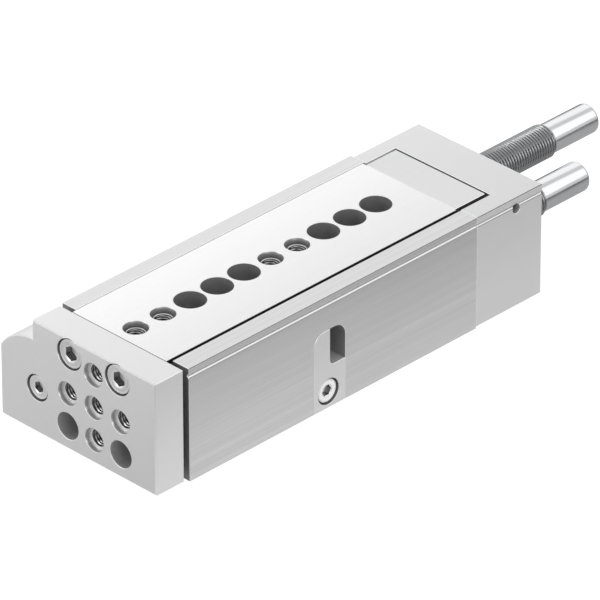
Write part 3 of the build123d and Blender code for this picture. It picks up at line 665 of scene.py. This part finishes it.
def make_screw_tree():
    """Tree of a socket head screw whose head looks along Z, with its top at the spot."""
    lengths = (
        "Head Radius", "Head Length", "Socket", "Shank Radius", "Shank Length", "Pitch", "Rim"
    )
    tree, wires = start_tree(
        "socket head screw",
        [(label, "NodeSocketFloat", MM) for label in lengths]
        + [
            ("Around", "NodeSocketInt", 144),
            ("Knurls", "NodeSocketInt", 36),
            ("Turn", "NodeSocketVector", None),
            ("Material", "NodeSocketMaterial", None),
        ],
    )
    wire = Wire(tree)
    head, tall, rim = wires["Head Radius"], wires["Head Length"], wires["Rim"]
    flat, shank = wires["Socket"] * 0.5, wires["Shank Radius"]
    zero = head * 0.0
    # Steps from the socket's middle outwards: (radius, height, share of hexagon, share of knurl)
    profile = [
        (zero, -tall * 0.62, zero, zero),
        (flat * 0.96, -tall * 0.5, zero + 1.0, zero),
        (flat, -tall * 0.46, zero + 1.0, zero),
        (flat, -tall * 0.07, zero + 1.0, zero),
        (flat * 1.2, -tall * 0.02, zero, zero),
        (flat * 1.3, zero, zero, zero),
        (head * 0.78, zero, zero, zero),
        (head * 0.8, -tall * 0.02, zero, zero),
        (head * 0.84, -tall * 0.02, zero, zero),
        (head * 0.86, zero, zero, zero),
        (head - rim, zero, zero, zero),
        (head - rim * 0.3, -rim * 0.3, zero, zero),
        (head, -rim, zero, zero),
        (head, -tall * 0.12, zero, zero),
        (head, -tall * 0.16, zero, zero + 1.0),
        (head, -tall * 0.9, zero, zero + 1.0),
        (head, -tall * 0.94, zero, zero),
        (head - rim * 0.5, -tall, zero, zero),
        (shank * 1.1, -tall, zero, zero),
        (shank, -tall * 1.03, zero, zero),
        (shank, -tall * 1.1, zero, zero),
        (zero, -tall * 1.1, zero, zero),
    ]
    grid, step, turn = ring_grid(wire, zero + float(len(profile)), wires["Around"])

    def chosen(column):
        rows = {number + 1: row[column] for number, row in enumerate(profile)}
        switch = {"Index": step, **rows}
        return wire.node(
            "GeometryNodeIndexSwitch", {"data_type": "FLOAT", "items": len(profile)}, switch
        )

    radius, height, hexagon, knurl = (chosen(column) for column in range(4))
    sixth = wire.math("FRACT", turn * 6.0) * (math.pi / 3) - math.pi / 6
    corner = wire.math("DIVIDE", 1.0, wire.math("COSINE", sixth))
    groove = wire.math("ABSOLUTE", wire.math("SINE", turn * wires["Knurls"] * math.pi))
    groove = (1.0 - groove) * 0.045
    shaped = radius * (1.0 + hexagon * (corner - 1.0)) * (1.0 - knurl * groove)
    head_shape = rolled(wire, grid, shaped, height, turn)
    shank_shape = thread_shell(
        wire,
        shank,
        shank - wires["Pitch"] * 0.6,
        zero,
        wires["Shank Length"] - tall * 0.05,
        wires["Pitch"],
        zero + 32.0,
        zero + 5.0,
        -tall * 1.05,
    )
    both = wire.tree.nodes.new("GeometryNodeJoinGeometry")
    wire.tree.links.new(shank_shape.socket, both.inputs[0])
    wire.tree.links.new(head_shape.socket, both.inputs[0])
    end_tree(wire, Wire(tree, both.outputs[0]), wires)
    return tree


def grown(name, node, tree, spots, values, replaced=(), degrees=30.0):
    """Run a geometry tree on these spots and keep its result as a mesh on the node's body."""
    seed = bpy.data.meshes.new(name + "_spots")
    seed.from_pydata([tuple(Vector(spot) * MM) for spot in spots], [], [])
    piece = add_object(name, seed)
    modifier = piece.modifiers.new(name, "NODES")
    modifier.node_group = tree
    for socket in tree.interface.items_tree:
        if socket.in_out == "INPUT" and socket.name in values:
            modifier[socket.identifier] = values[socket.name]
    bpy.context.view_layer.update()
    ready = piece.evaluated_get(bpy.context.evaluated_depsgraph_get())
    mesh = bpy.data.meshes.new_from_object(ready)
    mesh.name = name
    piece.modifiers.clear()
    piece.data = mesh
    if signed_volume(mesh) < 0:
        mesh.flip_normals()
    smooth_by_angle(mesh, degrees)
    return settle(piece, node, *replaced)


thread_tree = make_thread_tree()
screw_tree = make_screw_tree()

TO_FRONT = (0.0, math.pi / 2, 0.0)
TO_REAR = (0.0, -math.pi / 2, 0.0)
TO_SIDE = (-math.pi / 2, 0.0, 0.0)
TO_BASE = (math.pi, 0.0, 0.0)
UP = (0.0, 0.0, 0.0)


def socket_screws(node, spots, turn, size, shank_length, plating=None):
    """The screws of one node, with knurled heads, hexagon sockets and threaded shanks."""
    head_radius, head_length, socket, shank_radius, pitch = size
    piece = grown(
        node + "_finished",
        node,
        screw_tree,
        spots,
        {
            "Head Radius": head_radius * MM,
            "Head Length": head_length * MM,
            "Socket": socket * MM,
            "Shank Radius": shank_radius * MM,
            "Shank Length": shank_length * MM,
            "Pitch": pitch * MM,
            "Rim": head_length / 15 * MM,
            "Turn": turn,
            "Material": plating or finishes["screw_steel"],
        },
        (node,),
    )
    first = len(piece.data.materials)
    # Painted shade in the sockets, and a painted highlight on the heads' rims and round the
    # sockets' mouths.
    for material in (socket_shade_metal, highlight_edge_metal):
        piece.data.materials.append(material)
    along = Euler(turn).to_matrix() @ Vector((0.0, 0.0, 1.0))
    for face in piece.data.polygons:
        for spot in spots:
            away = (face.center - Vector(spot) * MM) / MM
            depth = -away.dot(along)
            radius = (away + along * depth).length
            in_socket = radius < socket * 0.59 and 0.1 < depth / head_length < 0.48
            on_highlight_rim = radius < socket * 0.65 or 0.87 < radius / head_radius < 0.99
            if in_socket:
                face.material_index = first
            elif on_highlight_rim and depth < 0.1 * head_length:
                face.material_index = first + 1
    return piece


def paint_root_shade(piece, spots, turn, low, high):
    """Give the thread's faces between these two radii a near-black finish, painted shade in the
    thread's root.
    """
    first = len(piece.data.materials)
    piece.data.materials.append(root_shade_metal)
    along = Euler(turn).to_matrix() @ Vector((0.0, 0.0, 1.0))
    for face in piece.data.polygons:
        for spot in spots:
            if low * MM < off_axis(face.center, spot, along).length < high * MM:
                face.material_index = first
    return piece


def tapped_threads(name, node, spots, turn, length):
    """M5 threads that fill the opened walls of tapped holes, from each spot inwards."""
    piece = grown(
        name,
        node,
        thread_tree,
        spots,
        {
            "Crest Radius": core_radius * MM,
            "Root Radius": thread_root_radius * MM,
            "Wall Radius": (opened_radius + 0.01) * MM,
            "Length": length * MM,
            "Pitch": thread_pitch * MM,
            "Turn": turn,
            "Material": tapped_thread_shade_metal,
        },
    )
    return paint_root_shade(
        piece, spots, turn, thread_root_radius - 0.16, thread_root_radius + 0.04
    )


# ---------------------------------------------------------------- the pieces of this object

slide_hole_xs = [first_hole_x - hole_pitch * number for number in range(10)]
cross_places = [(0, 17.5), (10, 17.5), (-10, 17.5), (0, 27.5), (0, 7.5)]
plain_places = [(-10, 7.5), (10, 7.5)]
plate_screw_places = [(-plate_screw_y, slide_middle_z), (plate_screw_y, slide_middle_z)]
X_AXIS, Y_AXIS, Z_AXIS = (1, 0, 0), (0, 1, 0), (0, 0, 1)

# The bores and walls listed below get finishes of painted shade and painted highlight by their
# numbers.
finished_node(
    "housing",
    housing_chamfer,
    tapped=[((x, y, 0), Z_AXIS) for x, y in base_thread_places],
    bores=[
        ((stop_rear_x + stop_corner, 0, stop_top_z - stop_corner), Y_AXIS, stop_corner, DEEP_SHADE)
    ],
    walls=[
        ((0, side_y - 0.7, groove_z), (0, 0.765, 0.7), GROOVE_HIGHLIGHT),
        ((0, side_y, 0), Y_AXIS, SIDE_SHADE),
        ((0, side_y, slide_top_z - housing_chamfer), (0, 1, 1), SHADED),
        ((stop_rear_x, 0, 0), X_AXIS, DEEP_SHADE),
        ((0, 0, stop_top_z), (0, 0, -1), DEEP_SHADE),
        ((0, channel_right_y, 0), (0, -1, 0), END_SHADE),
        ((0, channel_left_y, 0), Y_AXIS, HIGHLIGHT),
        ((housing_front_x, 0, 0), X_AXIS, END_SHADE),
    ],
)
finished_node(
    "rear_cap",
    plate_chamfer,
    bores=[((0, y, z), X_AXIS, m3_counterbore_radius, SHADED) for y, z in cap_screw_places]
    + [(cap_side_hole, Y_AXIS, cap_side_hole_radius, DEEP_SHADE)],
    walls=[
        ((0, side_y - 0.5, groove_z), (0, 0.765, 0.45), GROOVE_HIGHLIGHT),
        ((0, cap_recess_right_y, 0), (0, -1, 0), END_SHADE),
        ((0, cap_recess_left_y, 0), Y_AXIS, HIGHLIGHT),
        ((cap_recess_rear_x, 0, 0), X_AXIS, END_SHADE),
        ((0, cap_side_y, slide_top_z - plate_chamfer), (0, 1, 1), SHADED),
    ],
)
finished_node(
    "slide",
    housing_chamfer,
    tapped=[((slide_hole_xs[number], slide_hole_y, 0), Z_AXIS) for number in thread_numbers],
    bores=[
        (
            (x, slide_hole_y, 0),
            Z_AXIS,
            sleeve_bore_radius if number in thread_numbers else slide_hole_radius,
            DEEP_SHADE,
        )
        for number, x in enumerate(slide_hole_xs)
    ],
    walls=[
        ((0, slide_right_y, 0), Y_AXIS, GAP_SHADE),
        ((0, slide_right_y, slide_top_z - housing_chamfer), (0, 1, 1), GAP_SHADE),
        ((0, 0, slide_top_z - sleeve_bore_depth), Z_AXIS, SHADED),
        ((plate_back_x, 0, slide_top_z - housing_chamfer), (1, 0, 1), SHADED),
    ],
)
finished_node(
    "yoke_plate",
    plate_chamfer,
    tapped=[((0, y, z), X_AXIS) for y, z in cross_places],
    bores=[((0, y, z), X_AXIS, plate_hole_radius, BORE_SHADE) for y, z in plain_places]
    + [((0, y, z), X_AXIS, sleeve_bore_radius, POCKET_SHADE) for y, z in cross_places]
    + [((0, y, z), X_AXIS, m5_counterbore_radius, SHADED) for y, z in plate_screw_places]
    + [((0, rod_y, rod_z), X_AXIS, m4_counterbore_radius, SHADED)],
    walls=[
        ((plate_front_x, 0, 0), X_AXIS, FRONT_SHADE),
        ((plate_front_x - sleeve_bore_depth, 0, 0), X_AXIS, HIGHLIGHT),
        ((plate_back_x, 0, slide_top_z - plate_chamfer), (-1, 0, 1), SHADED),
    ],
)
finished_node(
    "side_stop",
    stop_chamfer,
    bores=[((stop_screw_x, 0, stop_screw_z), Y_AXIS, m4_counterbore_radius, SHADED)],
    walls=[((notch_front_x, 0, 0), (-1, 0, 0), DEEP_SHADE)],
)
finished_node("stop_block", plate_chamfer, walls=[((0, block_right_y, 0), Y_AXIS, END_SHADE)])
plain_nodes = {
    0.06: ("guide_rail_left", "guide_rail_right"),
    0.05: ("ball_cage_left", "ball_cage_right"),
    0.0: ("guide_balls_left", "guide_balls_right"),
    0.12: (
        "rod_gland", "barrel_plug", "piston", "piston_rod", "piston_nut", "gland_retaining_ring"
    ),
    0.15: ("rod_seal", "gland_o_ring", "barrel_plug_o_ring", "piston_seals", "piston_magnet"),
    0.2: ("retract_lock_nut", "extend_lock_nut"),
}
for chamfer, nodes in plain_nodes.items():
    for node in nodes:
        finished_node(node, chamfer)

tapped_threads(
    "end_plate_threads",
    "yoke_plate",
    [(plate_front_x - sleeve_bore_depth - thread_gap, y, z) for y, z in cross_places],
    TO_FRONT,
    plate_front_x - plate_back_x - sleeve_bore_depth - both_thread_gaps,
)
tapped_threads(
    "slide_threads",
    "slide",
    [
        (slide_hole_xs[number], slide_hole_y, slide_top_z - sleeve_bore_depth - thread_gap)
        for number in thread_numbers
    ],
    UP,
    slide_top_z - slide_base_z - sleeve_bore_depth - both_thread_gaps,
)
tapped_threads(
    "base_threads",
    "housing",
    [(x, y, base_thread_gap) for x, y in base_thread_places],
    TO_BASE,
    base_thread_length,
)

plate_screw_x = plate_front_x - head_sink
cap_screw_x = cap_rear_x + head_sink
block_screw_x = block_rear_x + head_sink
socket_screws(
    "yoke_screws",
    [(plate_screw_x, y, z) for y, z in plate_screw_places],
    TO_FRONT,
    M5,
    shank_length=15.7,
)
socket_screws(
    "rod_screw", [(plate_screw_x, rod_y, rod_z)], TO_FRONT, M4, shank_length=13.7
)
socket_screws(
    "side_stop_screw",
    [(stop_screw_x, side_y - head_sink, stop_screw_z)],
    TO_SIDE,
    M4,
    shank_length=20.0,
    plating=highlight_plating,
)
socket_screws(
    "stop_block_screws",
    [(block_screw_x, y, z) for y, z in block_screw_places],
    TO_REAR,
    M4,
    shank_length=16.15,
)
socket_screws(
    "cap_screws",
    [(cap_screw_x, y, z) for y, z in cap_screw_places],
    TO_REAR,
    M3,
    shank_length=30.9,
)


def turned_piece(name, node, profile, centre_y, centre_z, around=96):
    """A solid turned about an axis along X from the (x, radius) points of a closed outline."""
    rows, faces, points = [], [], []
    for x, radius in profile:
        if radius == 0:
            rows.append([len(points)] * around)
            points.append((x * MM, centre_y * MM, centre_z * MM))
            continue
        rows.append(list(range(len(points), len(points) + around)))
        for number in range(around):
            angle = 2 * math.pi * number / around
            y = centre_y + radius * math.cos(angle)
            z = centre_z + radius * math.sin(angle)
            points.append((x * MM, y * MM, z * MM))
    for first, second in zip(rows, rows[1:]):
        for number in range(around):
            after = (number + 1) % around
            corners = [first[number], first[after], second[after], second[number]]
            faces.append(list(dict.fromkeys(corners)))
    mesh = bpy.data.meshes.new(name)
    mesh.from_pydata(points, [], [face for face in faces if len(face) > 2])
    mesh.materials.append(finishes[slot_of[node]])
    if signed_volume(mesh) < 0:
        mesh.flip_normals()
    smooth_by_angle(mesh, 35.0)
    return settle(add_object(name, mesh), node, node)


for side in ("retract", "extend"):
    y = absorber_y[side]
    front = absorber_tip_x[side] - absorber_reach
    rear = front - absorber_thread_length
    end = rear - absorber_sleeve_length
    tube = grown(
        f"{side}_absorber_tube_finished",
        f"{side}_absorber_tube",
        thread_tree,
        [(front, y, absorber_z)],
        {
            "Crest Radius": 5.0 * MM,
            "Root Radius": 4.4 * MM,
            "Wall Radius": 3.4 * MM,
            "Length": absorber_thread_length * MM,
            "Pitch": 1.0 * MM,
            "Around": 72,
            "Turn": TO_FRONT,
            "Material": finishes["thread_steel"],
        },
        (f"{side}_absorber_tube",),
        50.0,
    )
    paint_root_shade(tube, [(front, y, absorber_z)], TO_FRONT, 4.3, 4.58)
    turned_piece(
        f"{side}_absorber_sleeve_finished",
        f"{side}_absorber_sleeve",
        [
            (rear + 4.0, 0), (rear + 4.0, 3.1), (rear + 3.7, 3.37), (rear, 3.37),
            (rear, 4.2), (rear - 0.2, 4.4), (end + 1.0, 4.4), (end + 0.7, 4.37),
            (end + 0.4, 4.25), (end + 0.15, 4.0), (end, 3.6), (end, 2.7),
            (end + 0.08, 2.6), (end + 0.08, 2.3), (end, 2.2), (end, 0),
        ],
        y,
        absorber_z,
    )
    turned_piece(
        f"{side}_absorber_bush_finished",
        f"{side}_absorber_bush",
        [
            (front - 4.0, 1.55), (front - 4.0, 3.1), (front - 3.75, 3.37), (front - 0.3, 3.37),
            (front, 3.1), (front, 1.85), (front - 0.3, 1.55), (front - 4.0, 1.55),
        ],
        y,
        absorber_z,
        64,
    )
    tip = absorber_tip_x[side]
    turned_piece(
        f"{side}_absorber_plunger_finished",
        f"{side}_absorber_plunger",
        [
            (tip - 16.35, 0), (tip - 16.35, 3.1), (tip - 16.1, 3.35), (tip - 12.6, 3.35),
            (tip - 12.35, 3.1), (tip - 12.35, 1.5), (tip - 1.5, 1.5), (tip - 1.5, 2.6),
            (tip - 1.3, 2.8), (tip - 0.35, 2.8), (tip - 0.1, 2.6), (tip, 2.2), (tip, 0),
        ],
        y,
        absorber_z,
        64,
    )


# ---------------------------------------------------------------- floor, light and camera


def flat_sheet(name, size_m, height_m):
    """A level square sheet."""
    work = bmesh.new()
    bmesh.ops.create_grid(work, x_segments=8, y_segments=8, size=size_m / 2)
    bmesh.ops.translate(work, verts=work.verts, vec=(0, 0, height_m))
    mesh = bpy.data.meshes.new(name)
    work.to_mesh(mesh)
    work.free()
    return add_object(name, mesh)


def make_floor_material():
    """Pale floor: white to the camera, duller in gloss, with a soft share of the shadow and a
    painted pool of light round the object.
    """
    material, wire = start_material("pale studio floor")
    path = wire.tree.nodes.new("ShaderNodeLightPath")
    seen = Wire(wire.tree, path.outputs["Is Camera Ray"])
    gloss = wire.math(
        "MAXIMUM",
        Wire(wire.tree, path.outputs["Is Glossy Ray"]),
        Wire(wire.tree, path.outputs["Is Transmission Ray"]),
    )
    matt = wire.node("ShaderNodeBsdfDiffuse", sockets={"Color": (0.86, 0.86, 0.86, 1.0)})
    # A painted pool of light: the floor glows most in a rectangle under the object and fades over
    # a reach beside it.
    middle_m, half_m, reach_m = (-0.06, 0.01, 0.0), (0.1, 0.03, 0.0), 0.085
    zero = (0.0, 0.0, 0.0)
    place = wire.node("ShaderNodeTexCoord", output="Object")
    beside = wire.vector("SUBTRACT", place, middle_m)
    beside = wire.vector("ABSOLUTE", beside, zero)
    beside = wire.vector("SUBTRACT", beside, half_m)
    beside = wire.vector("MAXIMUM", beside, zero)
    distance = wire.vector("LENGTH", beside, zero, "Value")
    near = wire.math("MAXIMUM", 1.0 - distance / reach_m, 0.0)
    painted_light_pool = gloss * (near * 0.25 + 0.08) + (1.0 - gloss) * (near * 0.9 + 0.52)
    white = wire.node(
        "ShaderNodeEmission",
        sockets={"Color": (1.0, 1.0, 1.0, 1.0), "Strength": seen * 1.25 + (1.0 - seen) * painted_light_pool},
    )
    share = wire.math("MAXIMUM", gloss * 0.4 + 0.5, seen * 0.7)
    mixed = wire.node("ShaderNodeMixShader", sockets={0: share, 1: matt, 2: white})
    wire.node("ShaderNodeOutputMaterial", sockets={"Surface": mixed})
    return material


floor = flat_sheet("studio_floor", 6.0, -0.0002)
floor.data.materials.append(make_floor_material())

world = bpy.data.worlds.new("studio")
world.use_nodes = True
world.node_tree.nodes.clear()
sky = Wire(world.node_tree)
sky_path = world.node_tree.nodes.new("ShaderNodeLightPath")
sky_seen = sky.math(
    "MAXIMUM",
    Wire(sky.tree, sky_path.outputs["Is Camera Ray"]),
    Wire(sky.tree, sky_path.outputs["Is Transmission Ray"]),
)
sky.node(
    "ShaderNodeOutputWorld",
    sockets={
        "Surface": sky.node(
            "ShaderNodeBackground",
            sockets={"Color": (1.0, 1.0, 1.0, 1.0), "Strength": sky_seen * 0.35 + 0.65},
        )
    },
)
scene.world = world


def add_softbox(name, place_m, aim_m, size_m, watts):
    """A large soft lamp that looks at a point."""
    light = bpy.data.lights.new(name, "AREA")
    light.shape = "RECTANGLE"
    light.size, light.size_y = size_m
    light.energy = watts
    lamp = bpy.data.objects.new(name, light)
    lamp.location = place_m
    lamp.rotation_euler = (Vector(place_m) - Vector(aim_m)).to_track_quat("Z", "Y").to_euler()
    lamp.visible_camera = False
    scene.collection.objects.link(lamp)
    return lamp


overhead = add_softbox("overhead_softbox", (-0.05, -0.4, 0.75), (0, 0, 0), (0.7, 0.5), 3.0)
overhead.visible_glossy = False
add_softbox("front_softbox", (0.9, -0.5, 0.38), (0, 0, 0.02), (0.5, 0.5), 2.2)
add_softbox("side_softbox", (0.3, 0.9, 0.35), (0, 0, 0.02), (0.6, 0.4), 1.5)
add_softbox("left_softbox", (-0.78, -0.86, 0.66), (0, 0, 0.03), (1.5, 0.8), 1.5)
add_softbox("right_softbox", (-0.72, 0.63, 0.70), (-0.1, 0, 0.02), (0.9, 0.9), 1.3)


def place_camera():
    """Camera at the place, angle and lens that the photograph's edges give."""
    place_m = (1.29336, 1.29590, 1.12872)
    turn, rise, roll = (math.radians(value) for value in (134.818, 31.148, -0.082))
    level = math.cos(rise)
    back = Vector((math.sin(turn) * level, -math.cos(turn) * level, math.sin(rise)))
    right = Vector((math.cos(turn), math.sin(turn), 0.0))
    up = back.cross(right)
    tilted_right = right * math.cos(roll) + up * math.sin(roll)
    tilted_up = up * math.cos(roll) - right * math.sin(roll)
    lens = bpy.data.cameras.new("photo_camera")
    lens.lens = 481.614
    lens.sensor_width = 36.0
    lens.clip_start = 0.05
    lens.clip_end = 30.0
    camera = bpy.data.objects.new("photo_camera", lens)
    angle = Matrix((tilted_right, tilted_up, back)).transposed().to_4x4()
    camera.matrix_world = Matrix.Translation(place_m) @ angle
    scene.collection.objects.link(camera)
    scene.camera = camera


place_camera()
scene.view_settings.view_transform = "Standard"
